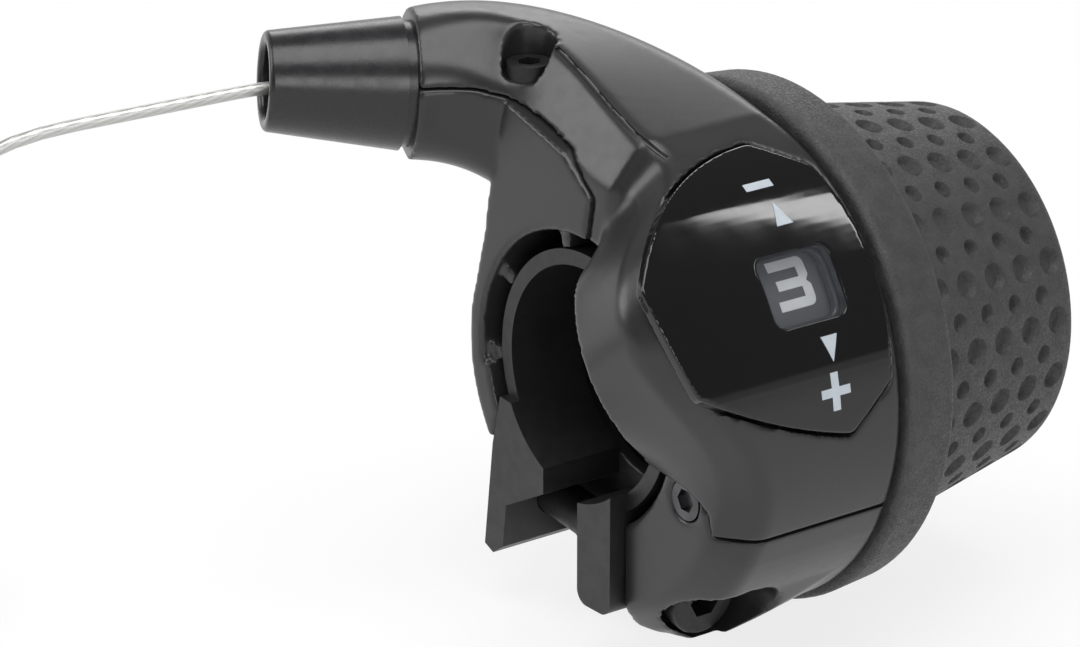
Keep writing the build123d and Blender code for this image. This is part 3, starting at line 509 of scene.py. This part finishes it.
class SHIFTER_OT_stage(bpy.types.Operator):
    """Set the camera, the lamps, the even light and the floor"""

    bl_idname = "shifter.stage"
    bl_label = "Stage"

    def execute(self, context):
        stage = context.scene.shifter_stage
        context.scene.view_settings.view_transform = "Standard"
        deselect()
        self.place_camera(context, stage)
        for name, (place, width, height, power) in LAMPS.items():
            self.lamp(name, place, LAMP_TARGET, width, height, getattr(stage, power))
        strip = self.lamp(
            "strip_lamp", STRIP_PLACE, STRIP_TARGET, STRIP_LENGTH, STRIP_WIDTH, stage.strip_power)
        strip.data.shape = "ELLIPSE"
        strip.rotation_euler = self.along(STRIP_PLACE, STRIP_TARGET, STRIP_ALONG)
        self.light_evenly(context, stage)
        self.lay_floor(context, stage)
        return {"FINISHED"}

    def place_camera(self, context, stage):
        """Add the photograph's camera."""
        bpy.ops.object.camera_add(location=EYE)
        camera = context.object
        camera.name = "photo_camera"
        camera.rotation_euler = Vector(LOOK).to_track_quat("-Z", "Y").to_euler()
        camera.data.sensor_fit = "HORIZONTAL"
        camera.data.sensor_width = SENSOR
        camera.data.lens = stage.lens
        camera.data.clip_start = NEAR_CLIP
        context.scene.camera = camera

    def lamp(self, name, place, target, width, height, power):
        """Add a soft lamp that points at a target."""
        bpy.ops.object.light_add(type="AREA", location=place)
        lamp = bpy.context.object
        lamp.name = name
        lamp.data.shape = "RECTANGLE"
        lamp.data.size = width
        lamp.data.size_y = height
        lamp.data.energy = power
        lamp.rotation_euler = (Vector(target) - Vector(place)).to_track_quat("-Z", "Y").to_euler()
        return lamp

    def along(self, place, target, length):
        """Turn of a lamp that points at a target, its long side along a direction."""
        side = Vector(length).normalized()
        back = Vector(place) - Vector(target)
        back = (back - side * back.dot(side)).normalized()
        return Matrix((side, back.cross(side), back)).transposed().to_euler()

    def light_evenly(self, context, stage):
        """Add the even light all round, with the backdrop in it for mirrored light."""
        world = bpy.data.worlds.new("even_light")
        world.use_nodes = True
        context.scene.world = world
        tree = world.node_tree
        sky = tree.nodes["Background"]
        sky.inputs["Color"].default_value = (1.0, 1.0, 1.0, 1.0)
        sky.inputs["Strength"].default_value = stage.sky
        pale = tree.nodes.new("ShaderNodeBackground")
        pale.inputs["Color"].default_value = BACKDROP_COLOUR
        pale.inputs["Strength"].default_value = 1.0
        backdrop = between(tree, self.backdrop_height(tree), 1.0, 0.0, *BACKDROP_EDGE)
        self.show_pale(tree, sky.outputs["Background"], pale.outputs["Background"],
                       tree.nodes["World Output"].inputs["Surface"], 1.0, backdrop)

    def lay_floor(self, context, stage):
        """Add the pale floor under the shifter."""
        floor_z = cad_box[0][2]
        bpy.ops.mesh.primitive_plane_add(size=FLOOR_SIZE, location=(0.0, 0.0, floor_z))
        floor = context.object
        floor.name = "pale_floor"
        bpy.ops.object.mode_set(mode="EDIT")
        bpy.ops.mesh.subdivide(number_cuts=FLOOR_CUTS)
        bpy.ops.object.mode_set(mode="OBJECT")
        material = finish("pale_floor", stage.floor_colour, mottle=(0.99, 1.01, 3.0), roughness=0.9)
        tree = material.node_tree
        glow = tree.nodes.new("ShaderNodeEmission")
        glow.inputs["Strength"].default_value = 1.0
        self.show_pale(tree, tree.nodes["Principled BSDF"].outputs["BSDF"], glow.outputs["Emission"],
                       tree.nodes["Material Output"].inputs["Surface"], stage.floor_glow)
        paint(floor, material)

    def backdrop_height(self, tree):
        """How high a direction looks over the backdrop, which rises behind the shifter."""
        place = tree.nodes.new("ShaderNodeTexCoord")
        behind = tree.nodes.new("ShaderNodeVectorMath")
        behind.operation = "DOT_PRODUCT"
        behind.inputs[1].default_value = BACKDROP_BEHIND
        tree.links.new(place.outputs["Generated"], behind.inputs[0])
        parts = tree.nodes.new("ShaderNodeSeparateXYZ")
        tree.links.new(place.outputs["Generated"], parts.inputs["Vector"])
        rise = reckon(tree, "MAXIMUM", behind.outputs["Value"], 0.0)
        return reckon(tree, "SUBTRACT", parts.outputs["Z"], rise)

    def show_pale(self, tree, plain, pale, surface, share, backdrop=None):
        """Show a pale shader to the camera, and to mirrored and refracted rays where the backdrop is."""
        path = tree.nodes.new("ShaderNodeLightPath")
        mirrored = reckon(
            tree, "MAXIMUM", path.outputs["Is Glossy Ray"], path.outputs["Is Transmission Ray"])
        if backdrop:
            mirrored = reckon(tree, "MULTIPLY", mirrored, backdrop)
        shown = reckon(tree, "MAXIMUM", path.outputs["Is Camera Ray"], mirrored)
        mix = tree.nodes.new("ShaderNodeMixShader")
        tree.links.new(reckon(tree, "MULTIPLY", shown, share), mix.inputs["Fac"])
        tree.links.new(plain, mix.inputs[1])
        tree.links.new(pale, mix.inputs[2])
        tree.links.new(mix.outputs["Shader"], surface)


class SHIFTER_OT_cable(bpy.types.Operator):
    """Lay the bare cable along its route and wind the rest into a tied coil"""

    bl_idname = "shifter.cable"
    bl_label = "Cable"

    order = 3
    resolution = 6
    rounding = 3

    def execute(self, context):
        cable = context.scene.shifter_cable
        points = [Vector(point) for point in CABLE_ROUTE] + self.coil_points(cable)
        piece = round_rod(
            "free_cable", points, cable.diameter / 2, self.order, self.resolution, self.rounding)
        paint(piece, finishes["strands"])
        settle(piece, "housing", "cable_steel", "cable_run", "cable_coil")
        return {"FINISHED"}

    def coil_points(self, cable):
        """Control points of the coil's turns, from the end of the route on."""
        widen = 1.0 / math.cos(math.pi / COIL_POINTS)
        last = Vector(CABLE_ROUTE[-1])
        arm = Vector((last.x - COIL_CENTRE[0], last.y - COIL_CENTRE[1]))
        angle = math.degrees(math.atan2(arm.y, arm.x))
        step = 360.0 / COIL_POINTS
        points = []

        def put(radius, height):
            turn = math.radians(angle)
            points.append(Vector((
                COIL_CENTRE[0] + radius * widen * math.cos(turn),
                COIL_CENTRE[1] + radius * widen * math.sin(turn),
                height,
            )))

        for count in range(1, COIL_LEAD_STEPS + 1):
            angle -= COIL_LEAD / COIL_LEAD_STEPS
            put(arm.length + (COIL_OUTER_R - arm.length) * count / COIL_LEAD_STEPS, last.z)
        angle -= COIL_DROP
        height = COIL_TOP_Z
        put(COIL_OUTER_R, height)
        inward = True
        for layer in range(cable.layers):
            first, second = (COIL_OUTER_R, COIL_INNER_R) if inward else (COIL_INNER_R, COIL_OUTER_R)
            steps = cable.turns * COIL_POINTS
            for count in range(1, steps + 1):
                angle -= step
                put(first + (second - first) * count / steps, height)
            if layer < cable.layers - 1:
                height -= COIL_LAYER
                angle -= COIL_STEP
                put(second, height)
            inward = not inward
        return points


class SHIFTER_OT_grip(bpy.types.Operator):
    """Spin the rubber cover and press its dimples"""

    bl_idname = "shifter.grip"
    bl_label = "Rubber grip"

    # Profile along the bar and outwards, in metres, and its edge that is the dimpled cone
    profile = (
        (0.018, 0.01865), (0.018, 0.0254), (0.02375, 0.0249), (0.02375, 0.0215),
        (0.0451, 0.01765), (0.0451, 0.0132), (0.0445, 0.0132), (0.0445, 0.0147),
        (0.0229, 0.01855), (0.0229, 0.02305), (0.01885, 0.02305), (0.01885, 0.01865),
    )
    cone_edge = 3
    cone_cuts = 11
    spin_steps = 120
    seed_size = 0.001

    # Corners of the profile that are rounded, with their widths in metres
    rounded = {1: 0.0009, 2: 0.0007, 4: 0.0012}
    round_segments = 4

    # First ring of dimples from the cone's start and distance of the rings, in metres
    margin = 0.0026
    pitch = 0.004

    # Shares of a dimple's radius at the crown and at the outer end of the plug that presses it
    plug_crown = 0.72
    plug_end = 1.35
    plug_sides = 16

    # Soft rims of the dimples: width in metres and angles in degrees
    rim_width = 0.00014
    rim_angle = 28.0
    rim_segments = 2
    smooth_angle = 40.0

    def execute(self, context):
        grip = context.scene.shifter_grip
        cover = self.spin_cover()
        cutter = self.dimple_cutter(grip)
        cut_with(cover, cutter)
        soften = cover.modifiers.new("soft_rims", "BEVEL")
        soften.limit_method = "ANGLE"
        soften.angle_limit = math.radians(self.rim_angle)
        soften.width = self.rim_width
        soften.segments = self.rim_segments
        soften.use_clamp_overlap = True
        apply_modifiers(cover)
        bpy.data.objects.remove(cutter)
        smooth_shade(cover, self.smooth_angle)
        paint(cover, finishes["rubber"])
        settle(cover, "grip", "grip_rubber", "rubber_grip")
        return {"FINISHED"}

    def spin_cover(self):
        """Draw the profile by extruding a point, then spin it about the bar."""
        deselect()
        bpy.ops.mesh.primitive_plane_add(size=self.seed_size)
        cover = bpy.context.object
        cover.name = "grip_cover"
        edit_whole(cover)
        bpy.ops.mesh.merge(type="CENTER")
        corners = [Vector((x, 0.0, r)) for x, r in self.profile]
        bpy.ops.transform.translate(value=corners[0])
        for edge, (start, end) in enumerate(zip(corners, corners[1:] + corners[:1])):
            pieces = self.cone_cuts if edge == self.cone_edge else 1
            for _ in range(pieces):
                bpy.ops.mesh.extrude_vertices_move(
                    TRANSFORM_OT_translate={"value": (end - start) / pieces})
        merge_doubles()
        bpy.ops.mesh.spin(
            steps=self.spin_steps, angle=2 * math.pi, center=(0.0, 0.0, 0.0), axis=(1.0, 0.0, 0.0))
        merge_doubles()
        bpy.ops.mesh.normals_make_consistent(inside=False)
        for corner, width in self.rounded.items():
            self.round_ring(cover, self.profile[corner], width)
        bpy.ops.object.mode_set(mode="OBJECT")
        return cover

    def round_ring(self, cover, place, width):
        """Bevel the ring of edges at a place of the profile."""
        bpy.ops.mesh.select_all(action="DESELECT")
        bpy.ops.object.mode_set(mode="OBJECT")
        on_ring = [self.near(vertex.co, *place) for vertex in cover.data.vertices]
        for edge in cover.data.edges:
            edge.select = on_ring[edge.vertices[0]] and on_ring[edge.vertices[1]]
        bpy.ops.object.mode_set(mode="EDIT")
        bpy.ops.mesh.select_mode(type="EDGE")
        bpy.ops.mesh.bevel(offset=width, segments=self.round_segments, affect="EDGES")
        bpy.ops.mesh.select_mode(type="VERT")

    def near(self, point, x, radius):
        """Whether a point is at a place along the bar and at a radius."""
        return abs(point.x - x) < PICK_GAP and abs(math.hypot(point.y, point.z) - radius) < PICK_GAP

    def dimple_cutter(self, grip):
        """All the plugs that press the dimples, as one mesh."""
        plugs = []
        for rings, start, radius in (
            (grip.rings, self.margin, grip.large_dimple),
            (grip.rings - 1, self.margin + self.pitch / 2, grip.small_dimple),
        ):
            model = self.plug(radius, grip.depth)
            for place in self.dimple_places(grip, rings, start):
                copy = model.copy()
                copy.data = model.data.copy()
                copy.data.transform(place)
                bpy.context.collection.objects.link(copy)
                plugs.append(copy)
            bpy.data.objects.remove(model)
        return join("dimple_plugs", plugs)

    def plug(self, radius, depth):
        """A tapered plug, its middle in the surface and its crown below."""
        deselect()
        bpy.ops.mesh.primitive_cone_add(
            vertices=self.plug_sides, radius1=radius * self.plug_crown, radius2=radius * self.plug_end,
            depth=depth * 2, location=(0.0, 0.0, 0.0))
        model = bpy.context.object
        edit_whole(model)
        bpy.ops.mesh.normals_make_consistent(inside=False)
        bpy.ops.object.mode_set(mode="OBJECT")
        return model

    def dimple_places(self, grip, rings, start):
        """Places on the cone, turned outwards."""
        (x0, r0), (x1, r1) = self.profile[self.cone_edge:self.cone_edge + 2]
        slope = math.atan2(r0 - r1, x1 - x0)
        places = []
        for ring in range(rings):
            along = start + ring * self.pitch
            radius = r0 - along * math.tan(slope)
            for row in range(grip.rows):
                angle = (row + start / self.pitch) * 360.0 / grip.rows
                outwards = Vector((math.sin(slope), *clock(math.cos(slope), angle)))
                turn = outwards.to_track_quat("Z", "Y").to_matrix().to_4x4()
                places.append(Matrix.Translation((x0 + along, *clock(radius, angle))) @ turn)
        return places


def curved_bar(radius, x_low, x_high, angle_low, angle_high, tip=1.0):
    """A printed bar that follows the round surface; tip narrows its far end."""
    deselect()
    steps = max(1, round(abs(angle_high - angle_low) / PRINT_STEP))
    bpy.ops.mesh.primitive_grid_add(x_subdivisions=1, y_subdivisions=steps, size=1.0)
    bar = bpy.context.object
    middle = (x_low + x_high) / 2
    for vertex in bar.data.vertices:
        # The grid is one wide about its middle, so this runs from 0 to 1
        share = vertex.co.y + 0.5
        width = (x_high - x_low) * (1.0 - (1.0 - tip) * share)
        angle = angle_low + (angle_high - angle_low) * share
        vertex.co = (middle + vertex.co.x * width, *clock(radius, angle))
    return bar


def printed_mark(name, surface_r, bars, shape=None):
    """Bars joined to one thin print that stands on a round surface; shape works on it as a sheet."""
    mark = join(name, [curved_bar(surface_r + PRINT_LIFT, *bar) for bar in bars])
    edit_whole(mark)
    bpy.ops.mesh.dissolve_degenerate(threshold=MERGE_GAP)
    bpy.ops.mesh.normals_make_consistent(inside=False)
    if shape:
        shape(mark)
    bpy.ops.object.mode_set(mode="OBJECT")
    first = mark.data.polygons[0]
    if first.normal.dot(Vector((0.0, first.center.y, first.center.z))) < 0:
        mark.data.flip_normals()
    print_wall = mark.modifiers.new("print", "SOLIDIFY")
    print_wall.thickness = PRINT_THICKNESS
    print_wall.offset = 1.0
    apply_modifiers(mark)
    return mark


class SHIFTER_OT_marks(bpy.types.Operator):
    """Print the plus, the minus and the arrows on the panel"""

    bl_idname = "shifter.marks"
    bl_label = "Panel marks"

    # Places along the bar in metres, clock angles in degrees, and how wide an arrow's tip is
    marks = {
        "minus_mark": ((0.0079, 0.01097, 31.5, 33.4),),
        "up_arrow": ((0.00883, 0.01068, 42.8, 37.3, 0.02),),
        "down_arrow": ((0.009, 0.01087, 67.5, 73.0, 0.02),),
        "plus_mark": (
            (0.0093, 0.01015, 75.2, 78.4),
            (0.0093, 0.01015, 78.4, 80.3),
            (0.0093, 0.01015, 80.3, 83.3),
            (0.0081, 0.0093, 78.4, 80.3),
            (0.01015, 0.0114, 78.4, 80.3),
        ),
    }

    def execute(self, context):
        for name, bars in self.marks.items():
            mark = printed_mark(name, PANEL_R, bars)
            paint(mark, finishes["marks"])
            settle(mark, "housing", "number_plastic")
        return {"FINISHED"}


class SHIFTER_OT_numbers(bpy.types.Operator):
    """Print the gear numbers on the ring under the window"""

    bl_idname = "shifter.numbers"
    bl_label = "Gear numbers"

    # Turn of each number in degrees, and the left, right, upper and lower ends of its bars
    numbers = {
        "number_three": (0.0, (
            (0.0, 3.0, 0.0, 1.2), (0.4, 3.0, 2.4, 3.0), (0.4, 3.0, 3.0, 3.6), (0.0, 3.0, 4.8, 6.0),
            (3.0, 4.0, 0.0, 1.2), (3.0, 4.0, 1.2, 2.4), (3.0, 4.0, 2.4, 3.0), (3.0, 4.0, 3.0, 3.6),
            (3.0, 4.0, 3.6, 4.8), (3.0, 4.0, 4.8, 6.0))),
        "number_two": (22.5, (
            (0.0, 3.0, 0.0, 1.2), (3.0, 4.0, 0.0, 1.2), (3.0, 4.0, 1.2, 2.4), (3.0, 4.0, 2.4, 3.6),
            (1.0, 3.0, 2.4, 3.6), (0.0, 1.0, 2.4, 3.6), (0.0, 1.0, 3.6, 4.8), (0.0, 1.0, 4.8, 6.0),
            (1.0, 4.0, 4.8, 6.0))),
        "number_one": (45.0, ((1.6, 2.8, 0.0, 6.0), (0.6, 1.6, 0.0, 1.2))),
    }

    # Field that the bars are drawn in, and its place along the bar in metres and round it in degrees
    columns = 4.0
    lines = 6.0
    field = (0.0076, 0.0117, 48.2, 60.3)

    # Spots of the field that are rounded or drawn in, and how far, in metres
    corners = {
        "number_three": ((4.0, 0.0), (4.0, 6.0)),
        "number_two": ((4.0, 0.0), (4.0, 3.6), (0.0, 2.4)),
    }
    corner_round = 0.0007
    corner_segments = 5
    waists = {"number_three": (4.0, 3.0)}
    waist_depth = 0.0004

    def execute(self, context):
        for name, (turned, bars) in self.numbers.items():
            placed = [self.bar(turned, *ends) for ends in bars]
            number = printed_mark(
                name, NUMBER_R, placed, lambda sheet: self.shape(sheet, name, turned))
            paint(number, finishes["numbers"])
            settle(number, "grip", "number_plastic")
        return {"FINISHED"}

    def on_ring(self, turned, across, down):
        """Place along the bar and clock angle of a spot in the number's field."""
        x_low, x_high, top, bottom = self.field
        x = x_low + (x_high - x_low) * across / self.columns
        return x, top + turned + (bottom - top) * down / self.lines

    def bar(self, turned, left, right, above, below):
        """Ends along the bar and clock angles of one of a number's bars."""
        x_low, angle_low = self.on_ring(turned, left, above)
        x_high, angle_high = self.on_ring(turned, right, below)
        return x_low, x_high, angle_low, angle_high

    def point(self, turned, spot):
        """Point on the print of a spot in the number's field."""
        x, angle = self.on_ring(turned, *spot)
        return Vector((x, *clock(NUMBER_R + PRINT_LIFT, angle)))

    def shape(self, sheet, name, turned):
        """Draw in the number's waist and round its outer corners."""
        if name in self.waists:
            self.pick(sheet, [self.point(turned, self.waists[name])])
            bpy.ops.transform.translate(value=(-self.waist_depth, 0.0, 0.0))
        if name in self.corners:
            self.pick(sheet, [self.point(turned, spot) for spot in self.corners[name]])
            bpy.ops.mesh.bevel(
                offset=self.corner_round, segments=self.corner_segments, affect="VERTICES")

    def pick(self, sheet, places):
        """Select the sheet's vertices at some places, in edit mode."""
        bpy.ops.mesh.select_all(action="DESELECT")
        bpy.ops.object.mode_set(mode="OBJECT")
        for vertex in sheet.data.vertices:
            vertex.select = any((vertex.co - place).length < PICK_GAP for place in places)
        bpy.ops.object.mode_set(mode="EDIT")


def node_copy(name, node):
    """A merged copy of a CAD node, to be worked on."""
    deselect()
    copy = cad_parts[node].copy()
    copy.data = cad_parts[node].data.copy()
    bpy.context.collection.objects.link(copy)
    return join(name, [copy])


class SHIFTER_OT_housing(bpy.types.Operator):
    """Round the edges of the mouldings, as they come out of the mould"""

    bl_idname = "shifter.housing"
    bl_label = "Housing"

    # Node, grid in metres, rounds of smoothing, finish and slot of each moulding
    mouldings = {
        "hood_moulding": ("hood_cover", 0.00026, 7, "housing", "housing_plastic"),
        "base_moulding": ("base_housing", 0.0003, 5, "housing", "housing_plastic"),
        "panel_cover": ("indicator_panel", 0.00014, 5, "panel", "panel_plastic"),
    }
    smooth_share = 0.5
    smooth_angle = 45.0

    # Rod that cuts the crease, its radius in metres
    creased = "hood_moulding"
    rod_r = 0.00028
    rod_order = 4
    rod_resolution = 4
    rod_rounding = 2

    def execute(self, context):
        for name, (node, grid, rounds, finish_name, slot) in self.mouldings.items():
            moulding = node_copy(name, node)
            remesh = moulding.modifiers.new("grid", "REMESH")
            remesh.mode = "VOXEL"
            remesh.voxel_size = grid
            soften = moulding.modifiers.new("soft_edges", "SMOOTH")
            soften.factor = self.smooth_share
            soften.iterations = rounds
            apply_modifiers(moulding)
            if name == self.creased:
                self.cut_crease(moulding)
            smooth_shade(moulding, self.smooth_angle)
            paint(moulding, finishes[finish_name])
            settle(moulding, "housing", slot, node)
        return {"FINISHED"}

    def crease_line(self, moulding):
        """Points of the crease, laid on the moulding."""
        corners = [Vector(point) for point in CREASE]
        line = [corners[0]]
        for start, end in zip(corners, corners[1:]):
            line += [start.lerp(end, step / CREASE_STEPS) for step in range(1, CREASE_STEPS + 1)]
        return [moulding.closest_point_on_mesh(point)[1] for point in line]

    def cut_crease(self, moulding):
        """Cut the crease with a thin rod that lies on the moulding."""
        line = self.crease_line(moulding)
        rod = round_rod(
            "crease_rod", line, self.rod_r, self.rod_order, self.rod_resolution, self.rod_rounding)
        activate(rod)
        bpy.ops.object.convert(target="MESH")
        rod = bpy.context.object
        cut_with(moulding, rod)
        apply_modifiers(moulding)
        bpy.data.objects.remove(rod)


class SHIFTER_OT_fittings(bpy.types.Operator):
    """Give the fittings and the inner pieces their finishes"""

    bl_idname = "shifter.fittings"
    bl_label = "Fittings"

    node_finish = {
        "number_window": "window",
        "clamp_band": "clamp",
        "clamp_bolt": "black_screw",
        "clamp_nut": "bolt",
        "cover_screw": "bolt",
        "neck_screw": "black_screw",
        "cable_nose": "nose",
        "cable_liner": "liner",
        "inner_cable": "wire",
        "detent_spring": "bolt",
        "twist_sleeve": "core",
        "winding_drum": "core",
        "number_ring": "ring",
        "cable_nipple": "wire",
        "cable_wrap": "wire",
        "cable_tie": "tie",
    }

    def execute(self, context):
        for node, finish_name in self.node_finish.items():
            paint(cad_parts[node], finishes[finish_name])
        return {"FINISHED"}


class SHIFTER_PT_panel(bpy.types.Panel):
    """Lists the shifter's pieces and their values"""

    bl_idname = "SHIFTER_PT_panel"
    bl_label = "Twist grip shifter"
    bl_space_type = "VIEW_3D"
    bl_region_type = "UI"
    bl_category = "Shifter"

    def draw(self, context):
        for name, steps in PANEL_ROWS:
            box = self.layout.box()
            values = getattr(context.scene, name)
            for key in values.bl_rna.properties.keys():
                if key not in ("rna_type", "name"):
                    box.prop(values, key)
            for step in steps:
                box.operator(step)


GROUPS = {
    "shifter_stage": ShifterStage,
    "shifter_cable": ShifterCable,
    "shifter_grip": ShifterGrip,
    "shifter_finish": ShifterFinish,
}
PANEL_ROWS = (
    ("shifter_stage", ("shifter.stage",)),
    ("shifter_cable", ("shifter.cable",)),
    ("shifter_grip", ("shifter.grip",)),
    ("shifter_finish", ("shifter.housing", "shifter.marks", "shifter.numbers", "shifter.fittings")),
)
CLASSES = (
    *GROUPS.values(),
    SHIFTER_OT_stage,
    SHIFTER_OT_cable,
    SHIFTER_OT_grip,
    SHIFTER_OT_marks,
    SHIFTER_OT_numbers,
    SHIFTER_OT_housing,
    SHIFTER_OT_fittings,
    SHIFTER_PT_panel,
)


def register():
    for piece in CLASSES:
        bpy.utils.register_class(piece)
    for name, group in GROUPS.items():
        setattr(bpy.types.Scene, name, bpy.props.PointerProperty(type=group))


def unregister():
    for name in GROUPS:
        delattr(bpy.types.Scene, name)
    for piece in reversed(CLASSES):
        bpy.utils.unregister_class(piece)


def main():
    """Dress the shifter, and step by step."""
    register()
    bpy.ops.shifter.stage()
    finishes.update(make_finishes())
    bpy.ops.shifter.cable()
    bpy.ops.shifter.fittings()
    bpy.ops.shifter.housing()
    bpy.ops.shifter.grip()
    bpy.ops.shifter.marks()
    bpy.ops.shifter.numbers()


if __name__ == "__main__":
    main()
